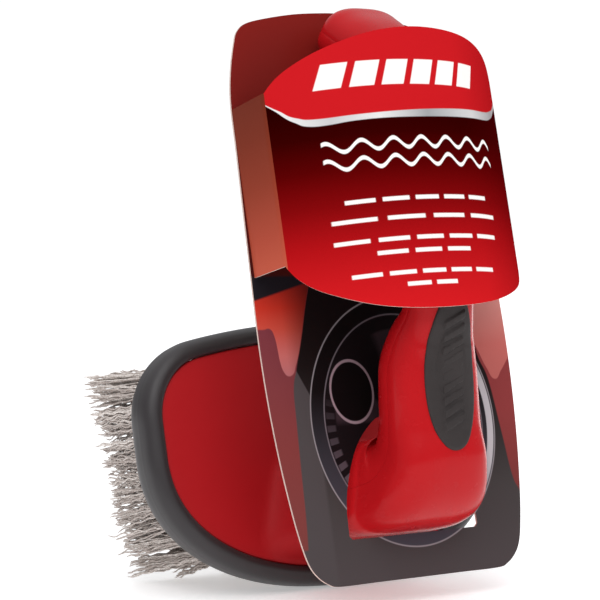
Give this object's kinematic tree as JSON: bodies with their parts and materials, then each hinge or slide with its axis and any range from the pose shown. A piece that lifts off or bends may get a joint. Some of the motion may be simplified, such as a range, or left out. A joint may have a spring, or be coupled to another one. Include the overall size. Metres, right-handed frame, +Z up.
{
  "type": "wheel brush",
  "caption": "Contoured wheel and tyre brush with a D-shaped head, rubber bumper, crimped bristles and an open cantilever handle, in a folded card sleeve.",
  "frame": {"origin": "centre of the bounding box's footprint, on the floor that the nose of the bumper stands on", "axes": "+Z up, along the standing brush; +X across the head; +Y the way the bristles point, so the handle is on the -Y side"},
  "size_m": [0.168, 0.1484, 0.2251],
  "materials": {
    "red_plastic": "smooth satin-gloss moulded polypropylene",
    "bumper_rubber": "matt black overmoulded rubber",
    "grip_rubber": "matt dark grey soft grip",
    "block_plastic": "matt black moulded block",
    "bristle": "pale grey crimped filament",
    "belt_card": "coated board printed red, dark maroon and silver",
    "backer_card": "coated board printed dark grey with flame and wheel art",
    "screw_steel": "zinc plated"
  },
  "bodies": {
    "root": {"head_plate": "red_plastic", "rubber_bumper": "bumper_rubber", "bristle_block": "block_plastic", "bristle_row_01": "bristle", "bristle_row_02": "bristle", "bristle_row_03": "bristle", "bristle_row_04": "bristle", "bristle_row_05": "bristle", "bristle_row_06": "bristle", "bristle_row_07": "bristle", "bristle_row_08": "bristle", "bristle_row_09": "bristle", "bristle_row_10": "bristle", "bristle_row_11": "bristle", "bristle_row_12": "bristle", "block_screw_1": "screw_steel", "block_screw_2": "screw_steel", "block_screw_3": "screw_steel", "block_screw_4": "screw_steel", "block_screw_5": "screw_steel", "block_screw_6": "screw_steel", "neck_screw_1": "screw_steel", "neck_screw_2": "screw_steel", "handle_outer_shell": "red_plastic", "handle_inner_cover": "red_plastic", "grip_pad": "grip_rubber", "card_backer": "backer_card", "card_left_strip": "belt_card", "card_right_strip": "belt_card", "card_front_flap": "belt_card", "card_glue_tab": "belt_card"}
  },
  "joints": []
}
